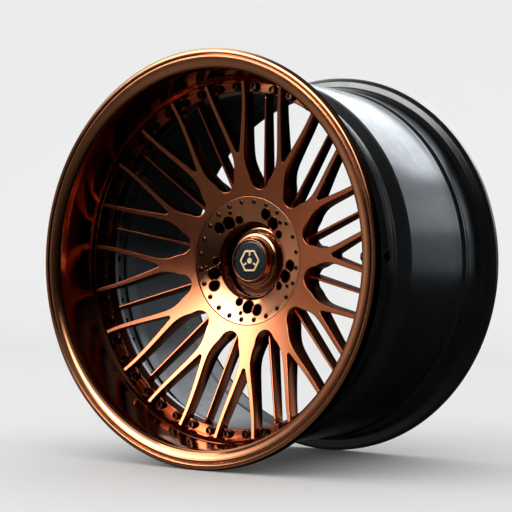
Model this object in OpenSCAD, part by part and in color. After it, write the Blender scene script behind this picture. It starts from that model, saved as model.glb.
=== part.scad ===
// Three-piece forged racing wheel, 18 x 10.5 J.
// A deep polished outer lip and a black inner barrel clamp a forged centre of
// twelve forked arms between them. The axle runs along Y: the street side
// faces -Y, +Z is up, and the origin is on the axle at the middle of the width.

/* [Rim] */
// Specified rim diameter at the bead seats (18 in)
seat_d = 462; // [461:0.5:463]
// Height of both rim flanges above the bead seat (J contour)
flange_h = 17.5; // [16.5:0.5:18.5]
// Rim width between the flanges (10.5 in)
seat_width = 266.7; // [265:0.1:270]
// Thickness of each flange
flange_w = 12.5; // [12:0.5:13]
// Wheel offset: mid-width to mounting face, positive outboard
offset_et = 5; // [2:1:7]

/* [Centre] */
// Number of forked arms
arm_count = 12; // [10:1:12]
// Turn of the first arm, anticlockwise from +X, seen from the street side
arm_phase = 2; // [0:1:30]
// Radius of the window roots around the hub
window_root_r = 90; // [88:1:94]
// Half width of an arm at its root
arm_half_w = 14.4; // [13:0.2:15]
// Radius at which an arm narrows to its knee
knee_r = 115; // [113:1:118]
// Half width of one prong where it meets the ring
prong_half_w = 2.6; // [2.4:0.1:3.2]
// Half width of a rear arm at the hub
rear_half_w = 4; // [3.5:0.25:5]

/* [Assembly bolts] */
// Bolts that clamp centre, lip and barrel
bolt_count = 48; // [24:24:48]
// Radius of the bolt circle
bolt_ring_r = 211.5; // [211:0.5:212]
// Bolt shank diameter
bolt_d = 7; // [6:0.5:7]
// Bolt head diameter
bolt_head_d = 10; // [9:0.5:10]

/* [Hub] */
// Wheel stud holes
lug_count = 5; // [4:1:6]
// Stud circle diameter
lug_pcd = 114.3; // [112:0.1:115]
// Turn of the first stud hole, anticlockwise from +X
lug_phase = 52; // [50:1:54]
// Stud hole diameter inside its steel insert
lug_hole_d = 14; // [13:0.5:14.5]
// Centre bore of the wheel
centre_bore_d = 73.1; // [72.6:0.1:73.5]
// Centre bore of the spigot ring
hub_bore_d = 66.1; // [64.1:0.1:67.1]
// Radius of the polished hub plate
plate_r = 80; // [79:0.5:81]
// Small screws around the hub plate
plate_screw_count = 24; // [12:12:24]

/* [Centre cap] */
// Radius of the cap's bezel
bezel_r = 28; // [27:0.5:29]
// Radius of the black disc in the bezel
disc_r = 24; // [23:0.5:24.5]
// Radius of the threaded boss under the cap
cap_thread_r = 19; // [18:0.5:20]

/* [Valve] */
// Turn of the valve, anticlockwise from +X
valve_angle = 0; // [0:1:4]
// Depth of the valve behind the street face
valve_depth = 49.5; // [49.2:0.1:49.8]

/* [Hidden] */
$fn = 96;

copper = [0.62, 0.33, 0.2];
bright_copper = [0.85, 0.55, 0.36];
black_paint = [0.07, 0.075, 0.08];
dark_steel = [0.2, 0.15, 0.13];
steel = [0.6, 0.6, 0.62];
rubber = [0.05, 0.05, 0.05];
gold = [0.85, 0.68, 0.4];

// Rim sizes; depths t are measured inboard from the street face of the wheel
seat_r = seat_d / 2;
rim_r = seat_r + flange_h;
overall_w = seat_width + 2 * flange_w;
back_t = overall_w;
mount_t = overall_w / 2 - offset_et;
fit_gap = 0.3;

// Sandwich of ring, lip flange and barrel flange
ring_in_r = 205.5;
ring_out_r = 218;
ring_t0 = 72.5;
ring_t1 = 82;
lip_flange_t1 = 87;
barrel_flange_t1 = 93;
well_r = 219.5;
barrel_r = 228;

// Hub plate seat
bowl_in_r = 44;
bowl_out_r = 69;
plate_rim_t = 100.3;
bowl_t = 127;
plate_t = 5;
plate_hole_r = centre_bore_d / 2;
seat_gap_r = plate_r + fit_gap;

lug_insert_r = lug_hole_d / 2 + 1.2;
bolt_r = bolt_d / 2;
washer_r = 6;
washer_t = 1.2;
head_h = 5;
nut_r = 5.3;
nut_h = 6.5;
plate_screw_ring_r = 73.5;
plate_screw_r = 2;
plate_screw_head_r = 3.2;
plate_screw_pocket_r = 3.4;
plate_screw_seat_t = 104;

// Centre cap stack, depths t
cap_base_t0 = 122.5;
cap_seat_t = 121.3;
cap_step_t = 115.5;
cap_front_t = 109;
cap_disc_t = 106.6;
cap_body_r = 35.5;
cap_fit = 0.06;

// Valve sizes, along the stem from the rim wall towards the axle
valve_wall_in_r = 222.15;
valve_wall_out_r = 227.5;
valve_hole_r = 5.65;
valve_stem_r = 4.15;
valve_tip_r = 3.9;
valve_tip_end = 202;
valve_tip_start = 214;
valve_bore_r = 2.6;
valve_pin_r = 0.7;

// Turns [radius, depth] points into profile points, outboard up
function profile(points) = [for (p = points) [p[0], overall_w / 2 - p[1]]];

// Lays the wheel down so that the local +Z axis becomes the street side, -Y
module wheel() { rotate([90, 0, 0]) children(); }

module turned(points) { rotate_extrude($fn = 180) polygon(profile(points)); }

// A disc or ring between two depths
module disc(r, t0, t1, hole = 0) {
    translate([0, 0, overall_w / 2 - t1])
        difference() {
            cylinder(r = r, h = t1 - t0);
            if (hole > 0)
                translate([0, 0, -1]) cylinder(r = hole, h = t1 - t0 + 2);
        }
}

// A round bar along the axle at a radius and an angle
module bar(ring_r, angle, r, t0, t1, sides = 32) {
    rotate([0, 0, angle])
        translate([ring_r, 0, overall_w / 2 - t1])
            cylinder(r = r, h = t1 - t0, $fn = sides);
}

function bolt_angle(i) = arm_phase + (i + 0.5) * 360 / bolt_count;
function lug_angle(i) = lug_phase + i * 360 / lug_count;
function screw_angle(i) = (i + 0.5) * 360 / plate_screw_count;

module bolt_holes(t0, t1) {
    for (i = [0:bolt_count - 1])
        bar(bolt_ring_r, bolt_angle(i), bolt_r + 0.1, t0 - 1, t1 + 1);
}

// ---------------------------------------------------------------- rim halves

module outer_lip() {
    color(bright_copper) wheel() difference() {
        turned([
            [225.6, 5], [228, 3.2], [rim_r - 9.1, 0.4], [rim_r - 8.5, 1], [rim_r - 7.5, 1],
            [rim_r - 6.3, 0], [rim_r - 3, 0], [rim_r - 0.9, 1], [rim_r, 3.2],
            [rim_r, flange_w - 4], [rim_r - 2.2, flange_w - 1.4], [rim_r - 11, flange_w],
            [seat_r + 2.4, flange_w + 0.8], [seat_r, flange_w + 4], [seat_r - 1.8, 36.5],
            [seat_r - 0.8, 38.5], [seat_r - 0.8, 41], [valve_wall_out_r, 43],
            [valve_wall_out_r, 58], [222.4, 76], [well_r, 83], [well_r, lip_flange_t1],
            [ring_in_r, lip_flange_t1], [ring_in_r, ring_t1], [ring_out_r + fit_gap, ring_t1],
            [ring_out_r + fit_gap, 60.5], [222, 55.5], [222.3, 44], [224.4, 14]]);
        bolt_holes(ring_t1, lip_flange_t1);
        valve_bar(valve_hole_r, 200, 240);
        // Face groove that holds the seal
        seal_groove();
    }
}

// Groove in the lip's bolting flange, open towards the barrel
module seal_groove() {
    difference() {
        disc(207.6, lip_flange_t1 - 1.2, lip_flange_t1 + 1);
        disc(206.6, lip_flange_t1 - 2, lip_flange_t1 + 2);
    }
}

module inner_barrel() {
    color(black_paint) wheel() difference() {
        turned([
            [ring_in_r, lip_flange_t1], [well_r, lip_flange_t1], [well_r + 0.3, 90],
            [barrel_r - 1, 106.5], [barrel_r, 109.5], [barrel_r + 0.4, 150], [barrel_r, 221],
            [barrel_r - 1, 222.5], [barrel_r - 1, 235], [seat_r - 1, 240], [seat_r - 1, 243],
            [seat_r - 1.8, 246], [seat_r, back_t - flange_w - 4],
            [seat_r + 2.4, back_t - flange_w - 0.8], [rim_r - 11, back_t - flange_w],
            [rim_r - 2.2, back_t - flange_w + 1.4], [rim_r, back_t - flange_w + 4],
            [rim_r, back_t - 3.2], [rim_r - 0.9, back_t - 1], [rim_r - 3, back_t],
            [rim_r - 6.5, back_t], [rim_r - 13, back_t - 4], [226, 282], [224.5, 274],
            [223.6, 246], [222.4, 236], [222.6, 222], [224, 150], [223.6, 111],
            [217.8, barrel_flange_t1], [ring_in_r, barrel_flange_t1]]);
        bolt_holes(lip_flange_t1, barrel_flange_t1);
    }
}

module rim_seal() {
    color(rubber) wheel() disc(207.6, lip_flange_t1 - 1.2, lip_flange_t1, 206.6);
}

// -------------------------------------------------------------- forged centre

// A prong slims evenly towards the ring, widens to the arm at the knee, and
// flares round into its neighbour at the window root
fork_r = 112;
tip_r = 217.6;
prong_taper = 1.9;
knee_softness = 6;
function along(r) = (r - window_root_r) / (tip_r - window_root_r);
function slim_w(r) = prong_half_w + prong_taper * max(0, 1 - along(r));
function plain_w(r) = slim_w(r)
    + (arm_half_w - slim_w(window_root_r)) / (1 + exp((r - knee_r) / knee_softness));
flare_r = window_root_r * PI / arm_count - plain_w(window_root_r) + 0.4;
function flare_w(r) = r < window_root_r + flare_r
    ? flare_r - sqrt(max(0, pow(flare_r, 2) - pow(window_root_r + flare_r - r, 2))) : 0;
function prong_w(r) = plain_w(r) + flare_w(r);
// Sideways swing of a prong's middle line, in degrees
function swing(r) = let (u = min(1, max(0, (r - fork_r) / (tip_r - fork_r))))
    90 / arm_count * (1 - pow(1 - u, 1.8));
function deg(x, r) = x / r * 180 / PI;
function polar(r, a) = [r * cos(a), r * sin(a)];

// Steps along a prong's edge; the last one is cut off by the ring's edge
edge_steps = [0, 0.02, 0.06, 0.12, 0.18, 0.24, 0.3, 0.38, 0.5, 0.66, 0.84, 1.03];
function edge_r(s) = window_root_r + s * (tip_r - window_root_r);

// One prong of a forked arm, from inside the hub to the ring
module prong_2d() {
    outer = [for (s = edge_steps) let (r = edge_r(s)) polar(r, swing(r) + deg(prong_w(r), r))];
    inner = [for (i = [len(edge_steps) - 1:-1:0])
        let (r = edge_r(edge_steps[i])) polar(r, max(swing(r) - deg(prong_w(r), r), -0.6))];
    polygon(concat([polar(plate_r - 10, 180 / arm_count)], outer, inner,
                   [polar(plate_r - 10, -0.6)]));
}

module forked_arms_2d() {
    for (i = [0:arm_count - 1])
        rotate(arm_phase + i * 360 / arm_count) {
            prong_2d();
            mirror([0, 1]) prong_2d();
        }
}

module rear_arms_2d() {
    for (i = [0:arm_count - 1])
        rotate(arm_phase + (i + 0.5) * 360 / arm_count)
            polygon([[plate_r - 6, -rear_half_w], [130, -rear_half_w * 0.85],
                     [ring_in_r + 2, -rear_half_w * 0.65], [ring_in_r + 2, rear_half_w * 0.65],
                     [130, rear_half_w * 0.85], [plate_r - 6, rear_half_w]]);
}

module centre_spider() {
    hub_r = centre_bore_d / 2;
    seat_t = plate_rim_t + plate_t + 2;
    color(copper) wheel() difference() {
        union() {
            intersection() {
                translate([0, 0, -10]) linear_extrude(120) {
                    forked_arms_2d();
                    circle(r = window_root_r + 0.7);
                }
                turned([[hub_r, bowl_t + plate_t], [bowl_in_r, bowl_t + plate_t],
                        [bowl_out_r, seat_t], [seat_gap_r, seat_t], [seat_gap_r, 99.4],
                        [110, 93], [150, 82.6], [190, 71.2], [tip_r, 62.8],
                        [tip_r, 80], [ring_in_r + 1, 81.5], [ring_in_r - 0.5, 82.5],
                        [ring_in_r - 0.5, 84], [150, 104], [110, 122], [84, 134],
                        [76, mount_t], [hub_r, mount_t]]);
            }
            intersection() {
                translate([0, 0, -10]) linear_extrude(120) rear_arms_2d();
                turned([[plate_r - 5, 113], [150, 92], [ring_in_r + 1, 75.5],
                        [ring_in_r + 1, 81.5], [ring_in_r - 0.5, 82.5], [ring_in_r - 0.5, 90],
                        [150, 112], [plate_r - 5, 132]]);
            }
            disc(ring_out_r, ring_t0, ring_t1, ring_in_r);
        }
        bolt_holes(ring_t0, ring_t1);
        for (i = [0:lug_count - 1])
            bar(lug_pcd / 2, lug_angle(i), lug_insert_r, 90, 150);
        plate_screw_holes();
        relief_holes();
    }
}

// ------------------------------------------------------------------------ hub

// Lightening holes beside each stud hole: radius from the axle, turn from the
// stud hole and hole radius
RELIEFS = [[62, 13.5, 7.2], [53.5, -16, 5], [66, -8.5, 2.2]];

module relief_holes() {
    for (i = [0:lug_count - 1])
        for (hole = RELIEFS)
            bar(hole[0], lug_angle(i) + hole[1], hole[2], 90, 124, 48);
}

module plate_screw_holes() {
    for (i = [0:plate_screw_count - 1])
        bar(plate_screw_ring_r, screw_angle(i), plate_screw_r, 90, 117);
}

module hub_plate() {
    rim_back = plate_rim_t + plate_t + 2;
    color(bright_copper) wheel() difference() {
        turned([[plate_hole_r, bowl_t], [bowl_in_r + 0.6, bowl_t], [bowl_in_r + 0.9, 113],
                [bowl_in_r + 2, 110.6], [bowl_in_r + 5, 108.6], [bowl_in_r + 11, 106.7],
                [plate_r - 1, plate_rim_t], [plate_r, plate_rim_t + 1],
                [plate_r, rim_back], [bowl_out_r, rim_back], [bowl_in_r, bowl_t + plate_t],
                [plate_hole_r, bowl_t + plate_t]]);
        for (i = [0:plate_screw_count - 1])
            bar(plate_screw_ring_r, screw_angle(i), plate_screw_pocket_r, 90, plate_screw_seat_t);
        for (i = [0:lug_count - 1])
            bar(lug_pcd / 2, lug_angle(i), lug_insert_r, 90, 150);
        relief_holes();
        plate_screw_holes();
    }
}

module hub_plate_screws() {
    color(dark_steel) wheel()
        for (i = [0:plate_screw_count - 1])
            difference() {
                union() {
                    bar(plate_screw_ring_r, screw_angle(i), plate_screw_head_r,
                        plate_screw_seat_t - 3, plate_screw_seat_t);
                    bar(plate_screw_ring_r, screw_angle(i), plate_screw_r,
                        plate_screw_seat_t - 1, 117);
                }
                bar(plate_screw_ring_r, screw_angle(i), 1.7, plate_screw_seat_t - 4,
                    plate_screw_seat_t - 1.2, 6);
            }
}

// Steel sleeves with a 60 degree seat for the wheel nuts
module lug_seat_inserts() {
    seat_front_t = 112.4;
    color(steel) wheel()
        for (i = [0:lug_count - 1])
            rotate([0, 0, lug_angle(i)]) translate([lug_pcd / 2, 0, 0])
                turned([[lug_insert_r, seat_front_t], [lug_insert_r, mount_t],
                        [lug_hole_d / 2, mount_t], [lug_hole_d / 2, seat_front_t + 2]]);
}

module spigot_ring() {
    color(steel) wheel()
        disc(centre_bore_d / 2 - 0.05, mount_t - 10, mount_t, hub_bore_d / 2);
}

// ----------------------------------------------------------------- sandwich

module assembly_bolts() {
    color(dark_steel) wheel()
        for (i = [0:bolt_count - 1])
            difference() {
                union() {
                    bar(bolt_ring_r, bolt_angle(i), bolt_head_d / 2,
                        ring_t0 - washer_t - head_h, ring_t0 - washer_t);
                    bar(bolt_ring_r, bolt_angle(i), bolt_r, ring_t0 - washer_t - 1,
                        barrel_flange_t1 + nut_h + 1.5);
                }
                bar(bolt_ring_r, bolt_angle(i), 2.9, ring_t0 - washer_t - head_h - 1,
                    ring_t0 - washer_t - 2, 6);
            }
}

module bolt_washers() {
    color(dark_steel) wheel()
        for (i = [0:bolt_count - 1])
            difference() {
                bar(bolt_ring_r, bolt_angle(i), washer_r, ring_t0 - washer_t, ring_t0);
                bar(bolt_ring_r, bolt_angle(i), bolt_r, ring_t0 - 3, ring_t0 + 1);
            }
}

module assembly_nuts() {
    color(dark_steel) wheel()
        for (i = [0:bolt_count - 1])
            difference() {
                bar(bolt_ring_r, bolt_angle(i), nut_r, barrel_flange_t1,
                    barrel_flange_t1 + nut_h, 6);
                bar(bolt_ring_r, bolt_angle(i), bolt_r, barrel_flange_t1 - 1,
                    barrel_flange_t1 + nut_h + 1);
            }
}

// --------------------------------------------------------------- centre cap

// Base ring that plugs into the centre bore and carries the threaded boss
module cap_base() {
    tail_r = centre_bore_d / 2;
    color(bright_copper) wheel()
        turned([[0, cap_seat_t - 5], [cap_thread_r - 1, cap_seat_t - 5],
                [cap_thread_r, cap_seat_t - 4], [cap_thread_r, cap_base_t0],
                [40.5, cap_base_t0], [42.5, cap_base_t0 + 0.8], [43.2, cap_base_t0 + 2.4],
                [42.5, cap_base_t0 + 4], [41, bowl_t], [tail_r, bowl_t],
                [tail_r, mount_t - 10.5], [tail_r - 5, mount_t - 10.5],
                [tail_r - 5, bowl_t], [0, bowl_t]]);
}

// Keyed slip washer that travels with the cap and does not turn
module cap_washer() {
    color(steel) wheel()
        disc(cap_body_r - 1, cap_seat_t + 0.1, cap_base_t0 - 0.1, cap_thread_r + cap_fit);
}

module centre_cap() {
    color(bright_copper) wheel()
        turned([[0, cap_front_t], [bezel_r - 3, cap_front_t], [bezel_r - 3, cap_front_t + 1],
                [bezel_r - 0.6, cap_front_t + 1], [bezel_r - 0.6, cap_step_t - 2],
                [cap_body_r - 4, cap_step_t - 0.5], [cap_body_r - 3, cap_step_t + 1],
                [cap_body_r, cap_step_t + 1.6], [cap_body_r, cap_seat_t - 0.8],
                [cap_body_r - 0.8, cap_seat_t], [cap_thread_r + cap_fit, cap_seat_t],
                [cap_thread_r + cap_fit, cap_step_t - 0.5], [0, cap_step_t - 0.5]]);
}

module cap_bezel() {
    color(bright_copper) wheel()
        turned([[disc_r, cap_front_t - 1], [disc_r, cap_disc_t - 0.4],
                [disc_r + 0.6, cap_disc_t - 1.1], [bezel_r - 1.2, cap_disc_t - 1.1],
                [bezel_r, cap_disc_t + 0.2], [bezel_r, cap_front_t + 3.4],
                [bezel_r - 0.6, cap_front_t + 3.4], [bezel_r - 0.6, cap_front_t + 1],
                [bezel_r - 3, cap_front_t + 1], [bezel_r - 3, cap_front_t - 1]]);
}

module cap_disc() {
    color(black_paint) wheel() disc(disc_r, cap_disc_t, cap_front_t - 0.05);
}

// Plain raised badge: a hexagonal frame, three short bars and a dot
module cap_emblem() {
    color(gold) wheel() translate([0, 0, overall_w / 2 - cap_disc_t])
        linear_extrude(0.8) {
            difference() {
                circle(r = 15, $fn = 6);
                circle(r = 12.4, $fn = 6);
            }
            for (i = [0:2])
                rotate(90 + i * 120)
                    translate([6.2, -1.1]) square([5.6, 2.2]);
            circle(r = 3.6);
        }
}

// -------------------------------------------------------------------- valve

// Round bar along the valve, between two distances from the axle
module valve_bar(r, d0, d1, sides = 48) {
    rotate([0, 0, valve_angle])
        translate([d0, 0, overall_w / 2 - valve_depth])
            rotate([0, 90, 0]) cylinder(r = r, h = d1 - d0, $fn = sides);
}

module valve_stem() {
    color(steel) wheel() difference() {
        union() {
            valve_bar(valve_tip_r, valve_tip_end, valve_tip_start);
            valve_bar(valve_stem_r, valve_tip_start, 230);
            valve_bar(6, 230, 231.5);
        }
        valve_bar(valve_bore_r, valve_tip_end - 1, 240);
    }
}

module valve_grommet() {
    color(rubber) wheel() difference() {
        union() {
            valve_bar(valve_hole_r, valve_wall_in_r, 228.5);
            difference() {
                valve_bar(6.4, 227, 230);
                turned([[0, 10], [valve_wall_out_r, 10], [valve_wall_out_r, 90], [0, 90]]);
            }
        }
        valve_bar(valve_stem_r, 200, 240);
    }
}

module valve_washer() {
    color(steel) wheel() difference() {
        valve_bar(6, valve_wall_in_r - 2, valve_wall_in_r - 0.6);
        valve_bar(valve_stem_r, 200, 240);
    }
}

module valve_nut() {
    color(steel) wheel() difference() {
        valve_bar(7.2, valve_wall_in_r - 7, valve_wall_in_r - 2, 6);
        valve_bar(valve_stem_r, 200, 240);
    }
}

module valve_core() {
    color(gold) wheel() difference() {
        valve_bar(valve_bore_r, valve_tip_end + 2, valve_tip_start + 6);
        valve_bar(valve_pin_r + 0.06, valve_tip_end, 240);
    }
}

module valve_pin() {
    color(gold) wheel() {
        valve_bar(valve_pin_r, valve_tip_end + 0.5, valve_tip_start + 7);
        valve_bar(1.9, valve_tip_start + 6.1, valve_tip_start + 7.6);
    }
}

module valve_cap() {
    color(bright_copper) wheel() difference() {
        valve_bar(5, valve_tip_end - 3, valve_tip_start - 1);
        valve_bar(valve_tip_r + 0.06, valve_tip_end - 1.5, valve_tip_start + 1);
    }
}

outer_lip();
inner_barrel();
centre_spider();
hub_plate();
hub_plate_screws();
lug_seat_inserts();
assembly_bolts();
bolt_washers();
assembly_nuts();
rim_seal();
spigot_ring();
cap_base();
cap_washer();
centre_cap();
cap_bezel();
cap_disc();
cap_emblem();
valve_stem();
valve_grommet();
valve_washer();
valve_nut();
valve_core();
valve_pin();
valve_cap();
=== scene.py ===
"""Three-piece forged racing wheel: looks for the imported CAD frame.

The axle runs along Y and the street side faces -Y. Radii r and depths t are in
millimetres; t is measured inboard from the street face. MM turns them into metres.
"""
import math

import bmesh
import bpy
from mathutils import Matrix, Vector
from mathutils.geometry import delaunay_2d_cdt


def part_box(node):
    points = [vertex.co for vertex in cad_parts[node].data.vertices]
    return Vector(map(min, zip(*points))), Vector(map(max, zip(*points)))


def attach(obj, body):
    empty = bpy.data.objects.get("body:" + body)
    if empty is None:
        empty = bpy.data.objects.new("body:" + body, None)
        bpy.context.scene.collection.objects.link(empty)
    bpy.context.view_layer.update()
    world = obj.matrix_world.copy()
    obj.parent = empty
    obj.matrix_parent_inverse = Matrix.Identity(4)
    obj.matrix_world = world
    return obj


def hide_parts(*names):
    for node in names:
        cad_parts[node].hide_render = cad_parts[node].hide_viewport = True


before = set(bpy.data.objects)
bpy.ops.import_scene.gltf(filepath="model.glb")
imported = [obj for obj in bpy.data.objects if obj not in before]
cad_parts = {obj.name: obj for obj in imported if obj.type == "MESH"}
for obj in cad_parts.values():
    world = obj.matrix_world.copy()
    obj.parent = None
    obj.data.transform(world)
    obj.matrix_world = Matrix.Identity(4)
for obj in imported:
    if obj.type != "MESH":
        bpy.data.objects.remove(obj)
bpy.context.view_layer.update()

MM = 0.001
PI = math.pi
WIDTH = (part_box("inner_barrel")[1][1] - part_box("outer_lip")[0][1]) / MM
RIM_R = 248.5

# Centre sizes, as in the CAD
ARMS = 12
ARM_PHASE = 2.0
ROOT_R = 90.0
ARM_HALF = 14.4
KNEE_R = 115.0
KNEE_SOFTNESS = 6.0
PRONG_TAPER = 1.9
PRONG_HALF = 2.6
FORK_R = 112.0
TIP_R = 217.6
PLATE_R = 80.0
FACE_T = 99.4
FACE_FALL = 0.2014
FACE_BEND = 0.000475
RING_IN = 205.5
RING_OUT = 218.0
RING_T = 72.5
BOLTS = 48
BOLT_RING_R = 211.5
LUGS = 5
LUG_R = 57.15
LUG_PHASE = 52.0
LUG_HOLE_R = 8.2
CENTRE_BORE_R = 36.55
SCREWS = 24
SCREW_RING_R = 73.5
SCREW_SEAT_T = 104.0
VALVE_HOLE_R = 5.7
# Lightening holes beside each stud hole: ring radius, turn from the stud hole, hole radius
RELIEFS = ((62.0, 13.5, 7.2), (53.5, -16.0, 5.0), (66.0, -8.5, 2.2))


# ------------------------------------------------------------------ mesh tools

def place(r, t, angle):
    """Point at radius r, depth t and angle in radians, anticlockwise from +X."""
    return (r * math.cos(angle) * MM, (t - WIDTH / 2) * MM, r * math.sin(angle) * MM)


def add_object(name, verts, faces, materials, face_slots=None, sharp=38.0):
    """A mesh piece with outward normals and smooth shading below the sharp angle."""
    mesh = bpy.data.meshes.new(name)
    mesh.from_pydata(verts, [], faces)
    for material in materials:
        mesh.materials.append(material)
    if face_slots:
        mesh.polygons.foreach_set("material_index", face_slots)
    bm = bmesh.new()
    bm.from_mesh(mesh)
    bmesh.ops.remove_doubles(bm, verts=bm.verts, dist=2e-6)
    bmesh.ops.recalc_face_normals(bm, faces=bm.faces)
    for face in bm.faces:
        face.smooth = True
    for edge in bm.edges:
        edge.smooth = len(edge.link_faces) == 2 and edge.calc_face_angle(0) < math.radians(sharp)
    bm.to_mesh(mesh)
    bm.free()
    piece = bpy.data.objects.new(name, mesh)
    bpy.context.collection.objects.link(piece)
    return piece


def soften(points):
    """Rounds the corners of a closed outline of (r, t, corner radius) points."""
    out = []
    count = len(points)
    steps = 4
    for i, point in enumerate(points):
        here = Vector(point[:2])
        before = Vector(points[i - 1][:2]) - here
        after = Vector(points[(i + 1) % count][:2]) - here
        size = point[2]
        turn = before.angle(after, PI)
        if size <= 0 or turn > PI - 0.03:
            out.append(tuple(here))
            continue
        reach = size / math.tan(turn / 2)
        reach = min(reach, 0.48 * before.length, 0.48 * after.length)
        start = here + before.normalized() * reach
        end = here + after.normalized() * reach
        for k in range(steps + 1):
            f = k / steps
            out.append(tuple((1 - f) ** 2 * start + 2 * f * (1 - f) * here + f * f * end))
    return out


def turned_parts(profile, segments):
    """Verts and faces of a closed (r, t) outline turned round the axle."""
    verts = [place(r, t, 2 * PI * j / segments) for j in range(segments) for r, t in profile]
    n = len(profile)
    faces = []
    for j in range(segments):
        a, b = j * n, (j + 1) % segments * n
        for i in range(n):
            k = (i + 1) % n
            faces.append((a + i, a + k, b + k, b + i))
    return verts, faces


def turned(name, points, materials, segments, pick=None):
    """A softened outline turned round the axle. pick(r, t) chooses each band's material."""
    profile = soften(points)
    verts, faces = turned_parts(profile, segments)
    slots = None
    if pick:
        bands = []
        for i, (r, t) in enumerate(profile):
            r2, t2 = profile[(i + 1) % len(profile)]
            bands.append(pick((r + r2) / 2, (t + t2) / 2))
        slots = bands * segments
    return add_object(name, verts, faces, materials, slots)


def repeat(verts, faces, moves):
    """Copies of one part, one for each matrix."""
    all_verts, all_faces = [], []
    for move in moves:
        base = len(all_verts)
        all_verts += [tuple(move @ Vector(v)) for v in verts]
        all_faces += [tuple(base + i for i in face) for face in faces]
    return all_verts, all_faces


def join_parts(*parts):
    """One list of verts and faces from several parts."""
    verts, faces = [], []
    for part_verts, part_faces in parts:
        base = len(verts)
        verts += part_verts
        faces += [tuple(base + i for i in face) for face in part_faces]
    return verts, faces


def on_ring(r, t, angle):
    """Matrix that stands a part built along -Y on a circle round the axle."""
    return Matrix.Translation(place(r, t, angle)) @ Matrix.Rotation(-angle, 4, "Y")


def lathe_local(profile, segments, star=0, star_depth=0.0, star_rows=()):
    """A small turned part along -Y: profile is (radius, height) in mm, height outboard.

    Rows listed in star_rows get a wavy edge with that many points.
    """
    verts, faces = [], []
    for row, (r, h) in enumerate(profile):
        for j in range(segments):
            a = 2 * PI * j / segments
            rr = r
            if row in star_rows:
                rr = r - star_depth * (0.5 - 0.5 * math.cos(star * a))
            verts.append((rr * math.cos(a) * MM, -h * MM, rr * math.sin(a) * MM))
    for row in range(len(profile) - 1):
        for j in range(segments):
            k = (j + 1) % segments
            a, b = row * segments, (row + 1) * segments
            faces.append((a + j, b + j, b + k, a + k))
    faces.append(tuple(range(segments)))
    top = (len(profile) - 1) * segments
    faces.append(tuple(top + j for j in reversed(range(segments))))
    return verts, faces


# ------------------------------------------------------------------- materials

class Shader:
    """A Principled material with short calls for its nodes."""

    def __init__(self, name, **values):
        self.material = bpy.data.materials.new(name)
        self.material.use_nodes = True
        self.tree = self.material.node_tree
        self.bsdf = self.tree.nodes["Principled BSDF"]
        self.coords = self.node("ShaderNodeTexCoord").outputs["Object"]
        for key, value in values.items():
            self.bsdf.inputs[key.replace("_", " ")].default_value = value

    def node(self, kind, **settings):
        made = self.tree.nodes.new(kind)
        for key, value in settings.items():
            setattr(made, key, value)
        return made

    def link(self, source, target):
        self.tree.links.new(source, target)

    def noise(self, scale, detail, rough=0.5, stretch=(1, 1, 1)):
        mapping = self.node("ShaderNodeMapping")
        mapping.inputs["Scale"].default_value = stretch
        self.link(self.coords, mapping.inputs["Vector"])
        made = self.node("ShaderNodeTexNoise")
        made.inputs["Scale"].default_value = scale
        made.inputs["Detail"].default_value = detail
        made.inputs["Roughness"].default_value = rough
        self.link(mapping.outputs["Vector"], made.inputs["Vector"])
        return made.outputs["Fac"]

    def ramp(self, source, stops):
        """Colour from a value; each stop is (position, colour)."""
        made = self.node("ShaderNodeValToRGB")
        elements = made.color_ramp.elements
        while len(elements) < len(stops):
            elements.new(0.5)
        for element, (at, colour) in zip(elements, stops):
            element.position = at
            element.color = (*colour, 1)
        self.link(source, made.inputs["Fac"])
        return made.outputs["Color"]

    def spread(self, source, low, high):
        """Spreads the usual span of a noise over low to high."""
        made = self.node("ShaderNodeMapRange")
        made.inputs["From Min"].default_value = 0.3
        made.inputs["From Max"].default_value = 0.7
        made.inputs["To Min"].default_value = low
        made.inputs["To Max"].default_value = high
        self.link(source, made.inputs["Value"])
        return made.outputs["Result"]

    def math(self, operation, a, b=None):
        made = self.node("ShaderNodeMath", operation=operation)
        for i, value in enumerate((a, b)):
            if value is None:
                continue
            if isinstance(value, (int, float)):
                made.inputs[i].default_value = value
            else:
                self.link(value, made.inputs[i])
        return made.outputs["Value"]

    def radius_and_y(self):
        """Distance from the axle, and the place along it."""
        split = self.node("ShaderNodeSeparateXYZ")
        self.link(self.coords, split.inputs["Vector"])
        x2 = self.math("MULTIPLY", split.outputs["X"], split.outputs["X"])
        z2 = self.math("MULTIPLY", split.outputs["Z"], split.outputs["Z"])
        return self.math("SQRT", self.math("ADD", x2, z2)), split.outputs["Y"]

    def turning_marks(self, pitch):
        """Fine grooves left by a lathe, round the axle."""
        r, y = self.radius_and_y()
        path = self.math("ADD", r, self.math("MULTIPLY", y, 0.83))
        return self.math("SINE", self.math("MULTIPLY", path, 2 * PI / pitch))

    def set(self, socket, source):
        self.link(source, self.bsdf.inputs[socket])

    def bump(self, *layers):
        """Each layer is (height source, strength, distance in metres)."""
        last = None
        for source, strength, distance in layers:
            made = self.node("ShaderNodeBump")
            made.inputs["Strength"].default_value = strength
            made.inputs["Distance"].default_value = distance
            self.link(source, made.inputs["Height"])
            if last:
                self.link(last, made.inputs["Normal"])
            last = made.outputs["Normal"]
        self.link(last, self.bsdf.inputs["Normal"])


def polished_copper():
    s = Shader("polished_copper", Metallic=1.0)
    tone = s.noise(9.0, 3.0, stretch=(1, 0.35, 1))
    s.set("Base Color", s.ramp(tone, [(0.3, (0.70, 0.27, 0.13)), (0.7, (0.76, 0.31, 0.16))]))
    smear = s.noise(38.0, 5.0, 0.6, stretch=(1, 3.0, 1))
    s.set("Roughness", s.spread(smear, 0.05, 0.12))
    s.bump((s.turning_marks(0.0009), 0.03, 0.0002), (s.noise(700.0, 2.0), 0.02, 0.0002))
    return s.material


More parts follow.
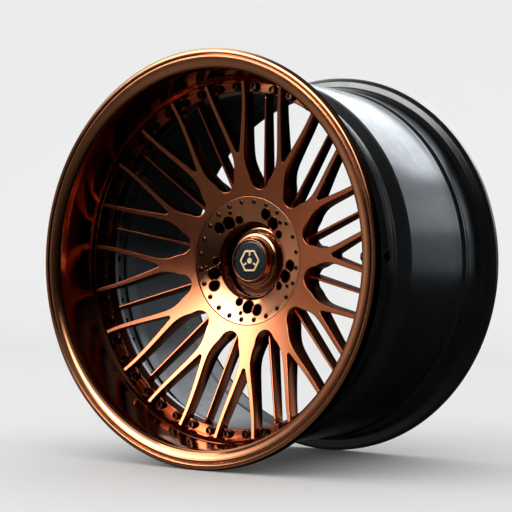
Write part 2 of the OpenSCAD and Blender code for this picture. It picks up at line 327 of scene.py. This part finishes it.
def satin_copper():
    s = Shader("satin_copper", Metallic=1.0)
    tone = s.noise(14.0, 5.0, 0.6)
    s.set("Base Color", s.ramp(tone, [(0.3, (0.60, 0.180, 0.080)), (0.7, (0.66, 0.205, 0.095))]))
    smear = s.noise(30.0, 6.0, 0.65)
    s.set("Roughness", s.spread(smear, 0.17, 0.24))
    s.bump((s.noise(1200.0, 2.0), 0.02, 0.0001))
    return s.material


def black_paint(name, coat, specular):
    s = Shader(name, Specular_IOR_Level=specular, Coat_Weight=coat, Coat_Roughness=0.2)
    tone = s.noise(12.0, 5.0, 0.55)
    s.set("Base Color", s.ramp(tone, [(0.3, (0.0040, 0.0046, 0.0052)),
                                      (0.7, (0.0075, 0.0084, 0.0096))]))
    s.set("Roughness", s.spread(s.noise(70.0, 6.0, 0.6), 0.28, 0.42))
    s.bump((s.noise(1400.0, 2.0), 0.08, 0.0002), (s.turning_marks(0.0016), 0.02, 0.0002))
    return s.material


def black_gloss():
    s = Shader("black_gloss", Coat_Weight=0.35, Coat_Roughness=0.05)
    tone = s.noise(60.0, 4.0)
    s.set("Base Color", s.ramp(tone, [(0.3, (0.005, 0.007, 0.010)), (0.7, (0.010, 0.013, 0.018))]))
    s.set("Roughness", s.spread(s.noise(240.0, 4.0), 0.16, 0.26))
    s.bump((s.noise(2200.0, 2.0), 0.04, 0.0001))
    return s.material


def dark_bronze():
    s = Shader("dark_bronze", Metallic=1.0)
    tone = s.noise(220.0, 4.0, 0.6)
    s.set("Base Color", s.ramp(tone, [(0.3, (0.05, 0.024, 0.016)), (0.72, (0.15, 0.07, 0.045))]))
    s.set("Roughness", s.spread(s.noise(420.0, 4.0), 0.16, 0.32))
    s.bump((s.noise(1500.0, 2.0), 0.08, 0.0002))
    return s.material


# Near-black painted shade for the walls of drilled holes and screw sockets.
def painted_hole_shade():
    s = Shader("painted_hole_shade", Metallic=0.3, Specular_IOR_Level=0.3)
    tone = s.noise(150.0, 4.0)
    s.set("Base Color", s.ramp(tone, [(0.3, (0.006, 0.004, 0.003)), (0.7, (0.014, 0.009, 0.007))]))
    s.set("Roughness", s.spread(s.noise(600.0, 3.0), 0.4, 0.6))
    s.bump((s.noise(1300.0, 2.0), 0.05, 0.0001))
    return s.material


def turned_steel():
    s = Shader("turned_steel", Metallic=1.0)
    tone = s.noise(40.0, 4.0)
    s.set("Base Color", s.ramp(tone, [(0.3, (0.42, 0.41, 0.41)), (0.7, (0.55, 0.54, 0.53))]))
    s.set("Roughness", s.spread(s.noise(160.0, 4.0), 0.2, 0.36))
    s.bump((s.turning_marks(0.0006), 0.06, 0.0002), (s.noise(1200.0, 2.0), 0.03, 0.0002))
    return s.material


def pale_gold():
    s = Shader("pale_gold", Metallic=0.9)
    tone = s.noise(180.0, 4.0)
    s.set("Base Color", s.ramp(tone, [(0.3, (0.8, 0.6, 0.36)), (0.7, (0.9, 0.72, 0.47))]))
    s.set("Roughness", s.spread(s.noise(500.0, 3.0), 0.42, 0.55))
    s.bump((s.noise(1800.0, 2.0), 0.02, 0.0001))
    return s.material


def matt_rubber():
    s = Shader("matt_rubber", Roughness=0.7)
    tone = s.noise(160.0, 5.0)
    s.set("Base Color", s.ramp(tone, [(0.3, (0.012, 0.012, 0.012)), (0.7, (0.028, 0.027, 0.026))]))
    s.set("Roughness", s.spread(s.noise(600.0, 3.0), 0.6, 0.85))
    s.bump((s.noise(900.0, 4.0), 0.2, 0.0003))
    return s.material


POLISHED = polished_copper()
SATIN = satin_copper()
BLACK = black_paint("black_paint", 1.0, 0.5)
BLACK_INSIDE = black_paint("black_inside", 0.45, 0.15)
GLOSS = black_gloss()
BRONZE = dark_bronze()
# Painted shade for holes and sockets
HOLE_SHADE = painted_hole_shade()
STEEL = turned_steel()
GOLD = pale_gold()
RUBBER = matt_rubber()


def finish_piece(piece, node, body="rim"):
    """Hides a CAD node, whose place the piece takes, and puts the piece on its body."""
    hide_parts(node)
    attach(piece, body)
    return piece


# ------------------------------------------------------------------ rim halves

def make_lip():
    """The deep polished lip with its rolled edge, well and bolting flange."""
    points = [
        (225.6, 5.5, 1.5), (228, 3.7, 2), (231, 2.3, 2), (234, 1.35, 2), (236.7, 0.85, 1),
        (239.3, 0.7, 0.5), (239.9, 1.5, 0.3), (240.9, 1.5, 0.3),
        (242.0, 0.0, 1.4), (246.6, 0.0, 2.2), (248.5, 2.4, 2.4), (248.5, 9.5, 3.0),
        (243.5, 12.4, 4), (235.5, 12.8, 4), (231, 16.5, 4), (229.2, 36.5, 2),
        (230.2, 38.6, 1.2), (230.2, 41, 1.2), (227.5, 43, 1.5), (227.5, 58, 3), (222.4, 76, 3),
        (219.5, 83, 1.5), (219.5, 87, 0.3), (205.5, 87, 0.3), (205.5, 82, 0.4), (218.1, 82, 0.6),
        (218.1, 62.2, 1.2), (219.2, 60.6, 0.8), (221.4, 57.2, 1.2), (221.4, 55.2, 0.6),
        (222.3, 54.4, 0.6), (222.6, 40, 10), (224.3, 14, 8)]
    piece = turned("lip", points, [POLISHED, BLACK], 320, pick=tyre_side)
    cut_with(piece, [valve_hole()], sharp=38)
    finish_piece(piece, "outer_lip")


def valve_hole():
    """Cutter for the hole in the lip's well, on the axis of the valve pin."""
    low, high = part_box("valve_pin")
    inner_r, outer_r = 212, 240
    verts, faces = lathe_local([(VALVE_HOLE_R, inner_r), (VALVE_HOLE_R, outer_r)], 48)
    turn = Matrix.Translation((0, (low[1] + high[1]) / 2, 0)) @ Matrix.Rotation(PI / 2, 4, "Z")
    return repeat(verts, faces, [turn])


def tyre_side(r, t):
    """The lip is bare copper towards the street and black where the tyre sits."""
    return int(t > 9 and r > 226.5 or t > 62.5 and r > 218.4)


def make_barrel():
    """The black barrel, duller on the inside."""
    back = WIDTH
    points = [
        (205.5, 87, 0.3), (219.5, 87, 0.4), (219.8, 90.5, 2), (226.6, 105.5, 4), (228, 110, 5),
        (228.4, 150, 20), (228, 220.5, 2), (226.9, 222.2, 1), (226.9, 234.5, 2),
        (230, 239.5, 2), (230, 243, 2), (229.2, 246.5, 2), (231, back - 16.5, 4),
        (235.5, back - 12.8, 4), (243.5, back - 12.4, 4), (248.5, back - 9.5, 3),
        (248.5, back - 2.4, 2.4), (246.6, back, 2.2), (242.5, back, 2), (235.5, back - 3.5, 3),
        (226.4, back - 9.8, 4), (224.6, 274, 4), (223.6, 246, 4), (222.4, 236, 4),
        (222.6, 222, 4), (224, 150, 20), (223.6, 134, 1), (221.4, 132.4, 0.6),
        (221.4, 127, 0.6), (223.4, 125, 0.6), (223.4, 111, 3), (217.8, 93, 1), (205.5, 93, 0.4)]

    def inside(r, t):
        return int(t > 95 and r < 222 or t > 106 and r < 226)

    piece = turned("barrel", points, [BLACK, BLACK_INSIDE], 320, pick=inside)
    return finish_piece(piece, "inner_barrel")


# --------------------------------------------------------------- forged centre

CROTCH_R = 2.2


def front_t(r):
    """Depth of the arms' street face: a shallow concave cone."""
    x = r - PLATE_R
    return FACE_T - FACE_FALL * x - FACE_BEND * x * x


def front_slope(r):
    """Change of the street face's depth with the radius."""
    return -FACE_FALL - 2 * FACE_BEND * (r - PLATE_R)


def back_t(r):
    """Depth of the arms' car-side face."""
    x = r - PLATE_R
    return 135.6 - 0.475 * x + 0.0005 * x * x


def along(r):
    """0 where the windows begin and 1 at the arm tips."""
    return (r - ROOT_R) / (TIP_R - ROOT_R)


def slim_half(r):
    """Half width of a prong outside the knee."""
    return PRONG_HALF + PRONG_TAPER * max(0.0, 1 - along(r))


def plain_half(r):
    """Half width of a prong, which widens to half the arm inside the knee."""
    return slim_half(r) + (ARM_HALF - slim_half(ROOT_R)) / (1 + math.exp((r - KNEE_R) / KNEE_SOFTNESS))


FLARE_R = ROOT_R * PI / ARMS - plain_half(ROOT_R)


def prong_half(r):
    """Half width with the round flare into the neighbouring arm at the window root."""
    if r >= ROOT_R + FLARE_R:
        return plain_half(r)
    rise = math.sqrt(max(0.0, FLARE_R ** 2 - (ROOT_R + FLARE_R - r) ** 2))
    return plain_half(r) + FLARE_R - rise


def swing(r):
    """Sideways swing of a prong's middle line, in radians."""
    u = min(1.0, max(0.0, (r - FORK_R) / (TIP_R - FORK_R)))
    return math.radians(90 / ARMS) * (1 - (1 - u) ** 1.8)


def polar(r, a):
    """Point in an arm's own plane, whose x runs outwards."""
    return Vector((r * math.cos(a), r * math.sin(a)))


def inner_angle(r):
    """Angle from the arm's middle line to a prong's inner edge."""
    return swing(r) - prong_half(r) / r


def crotch_start():
    """Radius at which the fork's inner edges stand CROTCH_R from the arm's middle line."""
    r = FORK_R
    while inner_angle(r) * r < CROTCH_R:
        r += 0.1
    return r


def arm_edge():
    """Half of a forked arm's outline, from its crotch round the tip to the window root."""
    start = crotch_start()
    points = [Vector((start - CROTCH_R * math.cos(k * PI / 16), CROTCH_R * math.sin(k * PI / 16)))
              for k in range(8)]
    steps = 30
    points += [polar(r, inner_angle(r)) for r in
               (start + (TIP_R - start) * k / steps for k in range(steps + 1))]
    steps = 44
    for k in range(steps + 1):
        s = (1 - k / steps) ** 1.7
        r = ROOT_R + s * (TIP_R - ROOT_R)
        points.append(polar(r, swing(r) + prong_half(r) / r))
    return points


def inset(points, amount):
    """The outline moved inwards; its first and last points keep to the symmetry lines."""
    out = []
    for i, p in enumerate(points):
        a = points[max(i - 1, 0)]
        b = points[min(i + 1, len(points) - 1)]
        along_edge = (b - a).normalized()
        normal = Vector((-along_edge.y, along_edge.x))
        if i == 0:
            normal = Vector((-1, 0))
        if i == len(points) - 1:
            normal = -polar(1, PI / ARMS)
        out.append(p + normal * amount)
    return out


def arm_layer():
    """Verts and faces of one forked arm with rounded edges, in its own frame."""
    half = arm_edge()
    edge = 1.1
    rows = []
    for k in range(4):
        f = k / 3 * PI / 2
        rows.append((edge * (1 - math.sin(f)), "front", edge * (1 - math.cos(f))))
    rows += [(0.0, "middle", 0.0)]
    for k in range(3, -1, -1):
        f = k / 3 * PI / 2
        rows.append((edge * (1 - math.sin(f)), "back", -edge * (1 - math.cos(f))))
    verts, faces = [], []

    def depth(r, face, extra):
        if face == "front":
            return front_t(r) + extra
        if face == "back":
            return back_t(r) + extra
        return (front_t(r) + back_t(r)) / 2

    loops = []
    for amount, face, extra in rows:
        moved = inset(half, amount)
        loop = [Vector((p.x, -p.y)) for p in reversed(moved[1:])] + moved
        loops.append([len(verts) + i for i in range(len(loop))])
        verts += [(p.x, p.y, depth(p.length, face, extra)) for p in loop]
    for a, b in zip(loops, loops[1:]):
        faces += [(a[i], a[i + 1], b[i + 1], b[i]) for i in range(len(a) - 1)]
    for loop, face in ((loops[0], "front"), (loops[-1], "back")):
        outline = [Vector(verts[i][:2]) for i in loop]
        hub = PLATE_R + 0.3
        end = PI / ARMS
        top_r = outline[-1].length
        cut = [polar(top_r + (hub - top_r) * k / 3, end) for k in (1, 2, 3)]
        arc = [polar(hub, end - 2 * end * k / 16) for k in range(1, 16)]
        back = [Vector((p.x, -p.y)) for p in reversed(cut)]
        ring = outline + cut + arc + back
        inside = fill_points(half, edge)
        count = len(ring)
        result = delaunay_2d_cdt(ring + inside, [(i, (i + 1) % count) for i in range(count)],
                                 [], 1, 1e-4)
        base = len(verts)
        verts += [(p.x, p.y, depth(p.length, face, 0.0)) for p in result[0]]
        faces += [tuple(base + i for i in tri) for tri in result[2]]
    return verts, faces


def fill_points(half, edge):
    """Points over an arm's face, so that it follows the cone."""
    found = []
    step = 5.0
    r = PLATE_R + 4
    while r < TIP_R - 4:
        outer = swing(r) + prong_half(r) / r if r > ROOT_R else PI / ARMS
        inner = max(inner_angle(r), 0.0) if r > FORK_R else 0.0
        room = (outer - inner) * r
        if r > ROOT_R and (r < ROOT_R + FLARE_R and outer > PI / ARMS * 0.9):
            r += step
            continue
        margin = edge + 1.0
        count = int((room - 2 * margin) / step) if inner > 0 else int((room - margin) / step)
        for k in range(count + 1):
            low = inner * r + (margin if inner > 0 else 0.0)
            y = low + k * (outer * r - margin - low) / max(count, 1)
            if room < 2 * margin + 0.5:
                y = (inner + outer) / 2 * r
            found.append(polar(r, y / r))
            if y > 0.1:
                found.append(polar(r, -y / r))
        r += step
    return found


def bar_along(r0, r1, half_at, top_at, bottom_at):
    """A bar between two radii with rounded edges, half as wide at its street face."""
    steps, edge, corner_points = 14, 0.9, 4
    per = 4 * corner_points
    verts, faces = [], []
    for k in range(steps + 1):
        r = r0 + (r1 - r0) * k / steps
        h, a, b = half_at(r), top_at(r), bottom_at(r)
        corners = ((h / 2, a + edge, 0), (-h / 2, a + edge, 1), (-h, b - edge, 2), (h, b - edge, 3))
        for side, middle, start in corners:
            y_middle = side - math.copysign(edge, side)
            for j in range(corner_points):
                f = (start + j / (corner_points - 1)) * PI / 2
                verts.append((r, y_middle + edge * math.cos(f), middle - edge * math.sin(f)))
    for k in range(steps):
        for j in range(per):
            m = (j + 1) % per
            a, b = k * per, (k + 1) * per
            faces.append((a + j, a + m, b + m, b + j))
    faces.append(tuple(range(per)))
    faces.append(tuple(steps * per + j for j in reversed(range(per))))
    return verts, faces


def rear_arm():
    """The slim straight arm that stands behind each window."""
    def half_at(r):
        return 3.9 - 1.3 * (r - PLATE_R) / (RING_IN - PLATE_R)

    def top_at(r):
        return 112.5 - 0.295 * (r - PLATE_R)

    def bottom_at(r):
        return 131.0 - 0.333 * (r - PLATE_R)

    return bar_along(PLATE_R - 3, RING_IN + 0.8, half_at, top_at, bottom_at)


def spun(verts, faces, offset):
    """Copies a part, built as (x, y, depth) in mm with x outwards, once for each arm."""
    out_verts, out_faces = [], []
    for i in range(ARMS):
        turn = math.radians(ARM_PHASE) + (i + offset) * 2 * PI / ARMS
        base = len(out_verts)
        for x, y, t in verts:
            out_verts.append(place(math.hypot(x, y), t, math.atan2(y, x) + turn))
        out_faces += [tuple(base + k for k in face) for face in faces]
    return out_verts, out_faces


def make_spider():
    """The forked arms, the rear arms and the bolting ring."""
    arms = spun(*arm_layer(), 0.0)
    rear = spun(*rear_arm(), 0.5)
    ring = turned_parts(soften([
        (RING_IN, RING_T + 1, 0.8), (RING_IN + 1, RING_T, 0.5), (215.6, RING_T, 0.3),
        (216.0, RING_T, 0.3), (RING_OUT, RING_T, 0.4), (RING_OUT, 82, 0.3),
        (RING_IN, 82, 0.3)]), 320)
    verts, faces = join_parts(arms, rear, ring)
    piece = add_object("spider", verts, faces, [SATIN])
    true_normals(piece.data)
    finish_piece(piece, "centre_spider")


def true_normals(mesh):
    """Shades the arms' street faces with the cone's own normals."""
    normals = []
    for vertex in mesh.vertices:
        x, y, z = (c / MM for c in vertex.co)
        r = math.hypot(x, z)
        if abs(y + WIDTH / 2 - front_t(r)) > 0.01:
            normals.append((0.0, 0.0, 0.0))
            continue
        slope = front_slope(r)
        normals.append(Vector((slope * x / r, -1.0, slope * z / r)).normalized())
    mesh.normals_split_custom_set_from_vertices(normals)


def make_hub_pad():
    """The thick middle of the spider, drilled for the studs."""
    points = [
        (CENTRE_BORE_R, 132, 0.3), (44, 132, 0.3), (69, 107.4, 0.3), (80.3, 107.4, 0.3),
        (80.3, 99.6, 0.3), (88.5, 99.2, 0.3), (88.5, 131, 3), (80, 136, 2), (76, 140.85, 1),
        (CENTRE_BORE_R, 140.85, 1)]
    piece = turned("spider_hub", points, [SATIN], 192)
    cut_with(piece, [drill(LUG_R, a, LUG_HOLE_R, 90, 150) for a in lug_angles()])
    cut_with(piece, relief_drills(124))
    finish_piece(piece, "centre_spider")


def lug_angles():
    """Angles of the stud holes in degrees."""
    return [LUG_PHASE + i * 360 / LUGS for i in range(LUGS)]


def relief_drills(depth):
    """Cutters for the lightening holes, down to a depth."""
    return [drill(r, a + turn, size, 90, depth) for r, turn, size in RELIEFS for a in lug_angles()]


PLATE_PROFILE = ((44.9, 113.0), (46.0, 110.6), (49.0, 108.5), (55.0, 106.7), (79.2, 100.1))


def plate_t(r):
    """Depth of the hub plate's face."""
    for (r0, t0), (r1, t1) in zip(PLATE_PROFILE, PLATE_PROFILE[1:]):
        if r <= r1:
            return t0 + (t1 - t0) * max(0.0, (r - r0) / (r1 - r0))
    return t1


def bead(r, angle, radius, thick=0.55, segments=48, sides=10):
    """A thin rounded edge round a hole, following the hub plate's face."""
    a0 = math.radians(angle)
    verts, faces = [], []
    for k in range(segments):
        turn = 2 * PI * k / segments
        for j in range(sides):
            side = 2 * PI * j / sides
            size = radius + 0.35 + thick * math.cos(side)
            spot = Vector((r + size * math.cos(turn), size * math.sin(turn)))
            depth = plate_t(spot.length) - thick * math.sin(side)
            verts.append(place(spot.length, depth, a0 + math.atan2(spot.y, spot.x)))
    for k in range(segments):
        m = (k + 1) % segments
        for j in range(sides):
            n = (j + 1) % sides
            faces.append((k * sides + j, m * sides + j, m * sides + n, k * sides + n))
    return verts, faces


# ------------------------------------------------------------------------- hub

def cut_with(piece, cutters, sharp=30):
    """Takes the joined cutters out of a piece; the cut faces take the cutters' near-black material,
    painted shade inside the holes.
    """
    verts, faces = join_parts(*cutters)
    tool = add_object("tool", verts, faces, [HOLE_SHADE])
    modifier = piece.modifiers.new("cut", "BOOLEAN")
    modifier.object = tool
    modifier.operation = "DIFFERENCE"
    modifier.solver = "EXACT"
    modifier.material_mode = "TRANSFER"
    graph = bpy.context.evaluated_depsgraph_get()
    mesh = bpy.data.meshes.new_from_object(piece.evaluated_get(graph))
    piece.modifiers.clear()
    piece.data = mesh
    bpy.data.objects.remove(tool)
    for face in mesh.polygons:
        face.use_smooth = True
    mesh.set_sharp_from_angle(angle=math.radians(sharp))


def drill(r, angle, radius, depth0, depth1, segments=48):
    """Cutter along the axle at ring radius r and angle in degrees, between two depths."""
    profile = [(radius, -depth1), (radius, -depth0)]
    verts, faces = lathe_local(profile, segments)
    return repeat(verts, faces, [on_ring(r, 0, math.radians(angle))])


def make_hub_plate():
    """The polished plate over the hub, its holes and their rounded edges."""
    points = [
        (CENTRE_BORE_R, 127, 0.3), (44.6, 127, 0.4), (44.9, 113, 1), (46, 110.6, 1), (49, 108.5, 3),
        (55, 106.7, 0), (60, 105.3, 0), (66, 103.7, 0), (72, 102.1, 0), (79.2, 100.1, 0.6),
        (80, 100.9, 0.3), (80, 107.3, 0.3), (69, 107.3, 0.3), (44, 132, 0.3),
        (CENTRE_BORE_R, 132, 0.3)]
    # Inside radius 46 the steep wall beside the cap is dark bronze: painted shade in the gap round the
    # cap.
    piece = turned("hub_plate_skin", points, [POLISHED, BRONZE], 256, pick=lambda r, t: int(r < 46))
    cut_with(piece, [drill(SCREW_RING_R, math.degrees(a), 3.4, 90, SCREW_SEAT_T, 32)
                     for a in screw_angles()])
    cut_with(piece, [drill(LUG_R, a, LUG_HOLE_R, 90, 150) for a in lug_angles()])
    cut_with(piece, relief_drills(150))
    finish_piece(piece, "hub_plate")
    beads = [bead(LUG_R, a, LUG_HOLE_R) for a in lug_angles()]
    beads += [bead(r, a + turn, size) for r, turn, size in RELIEFS for a in lug_angles()]
    edges = add_object("hole_edges", *join_parts(*beads), [SATIN])
    finish_piece(edges, "hub_plate")


def screw_angles():
    """Angles of the plate screws in radians."""
    return [2 * PI * (i + 0.5) / SCREWS for i in range(SCREWS)]


def make_plate_screws():
    """Socket screws round the hub plate; their sockets are near-black, painted shade in the recess."""
    sides = 24
    outside = [(2.0, -3.0), (3.1, 0.0), (3.1, 2.2), (2.75, 2.75), (2.05, 2.9)]
    verts, faces = lathe_local(outside + [(1.95, 1.2)], sides)
    # The socket walls and floor take the near-black painted shade.
    slots = [0] * sides * (len(outside) - 1) + [1] * sides + [0, 1]
    moves = [on_ring(SCREW_RING_R, SCREW_SEAT_T, a) for a in screw_angles()]
    piece = add_object("plate_screws", *repeat(verts, faces, moves), [BRONZE, HOLE_SHADE], slots * len(moves))
    finish_piece(piece, "hub_plate_screws")


def bolt_angles():
    """Angles of the clamping bolts in radians."""
    return [math.radians(ARM_PHASE + (i + 0.5) * 360 / BOLTS) for i in range(BOLTS)]


def make_bolts():
    """Twelve-point bolts round the ring."""
    head = [(3.5, -25.0), (3.5, 0.0), (5.6, 0.0), (5.6, 0.9), (4.9, 1.3), (4.9, 4.4), (4.3, 5.0),
            (3.2, 5.0), (2.9, 4.6), (2.7, 2.4)]
    verts, faces = lathe_local(head, 48, star=12, star_depth=0.7, star_rows=(4, 5, 6))
    moves = [on_ring(BOLT_RING_R, RING_T - 1.2, a) for a in bolt_angles()]
    piece = add_object("clamp_bolts", *repeat(verts, faces, moves), [BRONZE])
    finish_piece(piece, "assembly_bolts")


def make_washers():
    """A washer under each bolt head."""
    verts, faces = lathe_local([(5.7, 0.0), (6.0, 0.25), (6.0, 0.95), (5.7, 1.2)], 36)
    moves = [on_ring(BOLT_RING_R, RING_T, a) for a in bolt_angles()]
    piece = add_object("clamp_washers", *repeat(verts, faces, moves), [BRONZE])
    finish_piece(piece, "bolt_washers")


# ------------------------------------------------------------------ centre cap

def make_cap():
    """The centre cap: base ring, stepped body, bezel and disc."""
    base = turned("cap_base_ring", [
        (0.01, 116.6, 0), (18.2, 116.6, 0.3), (19, 117.6, 0.3), (19, 122.5, 0.2), (39.5, 122.6, 1.2),
        (42.4, 122.7, 1.8), (43.1, 124.8, 1.8), (42.2, 126.9, 1), (36.5, 127, 0.2),
        (36.5, 130, 0.3), (31.5, 130, 0.3), (31.5, 127, 0.2), (0.01, 127, 0)], [POLISHED], 160)
    finish_piece(base, "cap_base")
    body = turned("cap_body", [
        (0.01, 109.1, 0), (27.2, 109.1, 0.2), (27.2, 113.4, 1.0), (30.8, 114.6, 0.8),
        (31.2, 115.9, 0.4), (33.8, 116.3, 0.8), (35.4, 117.3, 0.8), (35.4, 119.2, 0.5),
        (34.4, 119.6, 0.3), (34.4, 120.3, 0.3), (35.2, 120.6, 0.3), (35.0, 121.3, 0.2),
        (19.06, 121.3, 0.1), (19.06, 115.2, 0.1), (0.01, 115.2, 0)], [POLISHED], 160)
    finish_piece(body, "centre_cap", "cap")
    bezel = turned("cap_bezel_ring", [
        (24.0, 108.0, 0.1), (24.0, 106.6, 0.3), (24.9, 105.6, 0.5), (26.6, 105.6, 0.8),
        (28, 107.0, 1.0), (28, 112.2, 0.3), (27.4, 112.2, 0.1), (27.2, 109.1, 0.1),
        (25.0, 109.0, 0.1)], [POLISHED], 160)
    finish_piece(bezel, "cap_bezel", "cap")
    disc = turned("cap_face", [
        (0.01, 106.9, 0), (22.6, 106.7, 0.4), (23.2, 107.1, 0.3), (23.95, 107.2, 0.2),
        (23.95, 108.9, 0.1), (0.01, 108.9, 0)], [GLOSS], 128)
    finish_piece(disc, "cap_disc", "cap")


make_lip()
BARREL = make_barrel()
make_spider()
make_hub_pad()
make_hub_plate()
make_plate_screws()
make_bolts()
make_washers()
make_cap()

CARRIED = {
    "lug_seat_inserts": BRONZE, "assembly_nuts": BRONZE, "rim_seal": RUBBER,
    "spigot_ring": STEEL, "cap_washer": STEEL, "cap_emblem": GOLD, "valve_stem": STEEL,
    "valve_grommet": RUBBER, "valve_washer": STEEL, "valve_nut": STEEL, "valve_core": GOLD,
    "valve_pin": GOLD, "valve_cap": BRONZE}
for node, material in CARRIED.items():
    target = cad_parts[node]
    target.data.materials.clear()
    target.data.materials.append(material)


# ----------------------------------------------------------------- the studio

def make_floor():
    """A pale floor that curves up into a back wall, for the stage only."""
    size = 12.0
    wall_top = 8.0
    floor_z = -RIM_R * MM
    bend_y, bend = 3.0, 1.5
    rows = [(-size, floor_z), (bend_y, floor_z)]
    rows += [(bend_y + bend * math.sin(k * PI / 32), floor_z + bend * (1 - math.cos(k * PI / 32)))
             for k in range(1, 17)]
    rows.append((bend_y + bend, wall_top))
    verts = [(x, y, z) for y, z in rows for x in (-size, size)]
    faces = [(2 * i, 2 * i + 1, 2 * i + 3, 2 * i + 2) for i in range(len(rows) - 1)]
    white = Shader("studio_white", Base_Color=(0.9, 0.9, 0.9, 1), Roughness=0.8)
    floor = add_object("floor", verts, faces, [white.material])
    floor.visible_glossy = False


def softbox(name, place_at, size, power, colour):
    """A soft rectangular lamp that faces the middle of the wheel."""
    data = bpy.data.lights.new(name, "AREA")
    data.shape = "RECTANGLE"
    data.size, data.size_y = size
    data.energy = power
    data.color = colour
    lamp = bpy.data.objects.new(name, data)
    bpy.context.collection.objects.link(lamp)
    lamp.location = place_at
    lamp.rotation_euler = (-lamp.location).to_track_quat("-Z", "Y").to_euler()
    lamp.visible_camera = False
    return lamp


def make_camera():
    """Just below the axle's height, in front of the wheel and to its +X side."""
    data = bpy.data.cameras.new("camera")
    data.lens = 99.12
    data.sensor_width = 36.0
    camera = bpy.data.objects.new("camera", data)
    bpy.context.collection.objects.link(camera)
    camera.location = (1.0350, -1.4455, -0.0466)
    forward = Vector((-0.5890, 0.8076, 0.0300))
    camera.rotation_euler = forward.to_track_quat("-Z", "Y").to_euler()
    bpy.context.scene.camera = camera


# Direction, sharpness, strength and colour of each glow in the reflected room, and
# the heights between which it fades in, if it stops short of the horizon
GLOWS = [
    ((-0.48, -0.86, 0.20), 34.0, 13.0, (0.96, 1.0, 1.0), (0.13, 0.26)),
    ((-0.93, -0.37, 0.05), 22.0, 0.42, (1.0, 0.98, 0.92), None),
    ((-0.10, -1.0, -0.1), 5.0, 0.01, (1.0, 0.95, 0.9), None),
    ((-0.59, -0.70, -0.45), 10.0, 0.17, (1.0, 0.98, 0.92), None),
    ((-0.59, 0.05, 0.79), 30.0, 4.0, (1.0, 0.98, 0.90), None),
    ((-0.85, 0.45, 0.2), 8.0, 0.35, (1.0, 0.97, 0.92), None),
    ((0.0, 0.0, 1.0), 3.0, 0.08, (1.0, 1.0, 1.0), None),
]


def make_world():
    """White to the camera; reflections see a dark room with a few broad soft glows."""
    world = bpy.data.worlds.new("studio")
    bpy.context.scene.world = world
    world.use_nodes = True
    world.cycles.sampling_method = "NONE"
    tree = world.node_tree
    link = tree.links.new

    def node(kind, **settings):
        made = tree.nodes.new(kind)
        for key, value in settings.items():
            setattr(made, key, value)
        return made

    direction = node("ShaderNodeTexCoord").outputs["Generated"]
    total = None
    height = node("ShaderNodeSeparateXYZ")
    link(direction, height.inputs["Vector"])
    for toward, power, strength, colour, horizon in GLOWS:
        dot = node("ShaderNodeVectorMath", operation="DOT_PRODUCT")
        link(direction, dot.inputs[0])
        dot.inputs[1].default_value = Vector(toward).normalized()
        clip = node("ShaderNodeMath", operation="MAXIMUM")
        link(dot.outputs["Value"], clip.inputs[0])
        clip.inputs[1].default_value = 0.0
        lobe = node("ShaderNodeMath", operation="POWER")
        link(clip.outputs[0], lobe.inputs[0])
        lobe.inputs[1].default_value = power
        tint = node("ShaderNodeVectorMath", operation="SCALE")
        tint.inputs[0].default_value = [c * strength for c in colour]
        if horizon:
            fade = node("ShaderNodeMapRange", interpolation_type="SMOOTHSTEP")
            link(height.outputs["Z"], fade.inputs["Value"])
            fade.inputs["From Min"].default_value, fade.inputs["From Max"].default_value = horizon
            faded = node("ShaderNodeMath", operation="MULTIPLY")
            link(lobe.outputs[0], faded.inputs[0])
            link(fade.outputs["Result"], faded.inputs[1])
            lobe = faded
        link(lobe.outputs[0], tint.inputs["Scale"])
        if total is None:
            total = tint.outputs[0]
        else:
            plus = node("ShaderNodeVectorMath", operation="ADD")
            link(total, plus.inputs[0])
            link(tint.outputs[0], plus.inputs[1])
            total = plus.outputs[0]
    room = node("ShaderNodeBackground")
    link(total, room.inputs["Color"])
    white = tree.nodes["Background"]
    white.inputs["Color"].default_value = (1, 1, 1, 1)
    white.inputs["Strength"].default_value = 1.0
    mix = node("ShaderNodeMixShader")
    link(node("ShaderNodeLightPath").outputs["Is Glossy Ray"], mix.inputs["Fac"])
    link(white.outputs[0], mix.inputs[1])
    link(room.outputs[0], mix.inputs[2])
    link(mix.outputs[0], tree.nodes["World Output"].inputs["Surface"])


bpy.context.scene.view_settings.view_transform = "Standard"
make_camera()
make_world()
make_floor()
softbox("key", (-1.8, -2.0, 1.5), (0.8, 0.8), 5, (1.0, 0.93, 0.82))
# Lamps that light only the barrel: name, place, size, power and colour
BARREL_LAMPS = [
    ("barrel_sheen", (-0.3, 2.3, 1.9), (2.6, 1.4), 34, (0.88, 0.94, 1.0)),
    ("barrel_fill", (1.0, 2.5, 1.0), (1.6, 1.0), 4, (0.84, 0.92, 1.0)),
    ("barrel_low", (1.5, 2.4, 0.45), (1.4, 1.2), 1.8, (0.80, 0.90, 1.0)),
]
barrel_only = bpy.data.collections.new("barrel_only")
barrel_only.objects.link(BARREL)
for settings in BARREL_LAMPS:
    softbox(*settings).light_linking.receiver_collection = barrel_only
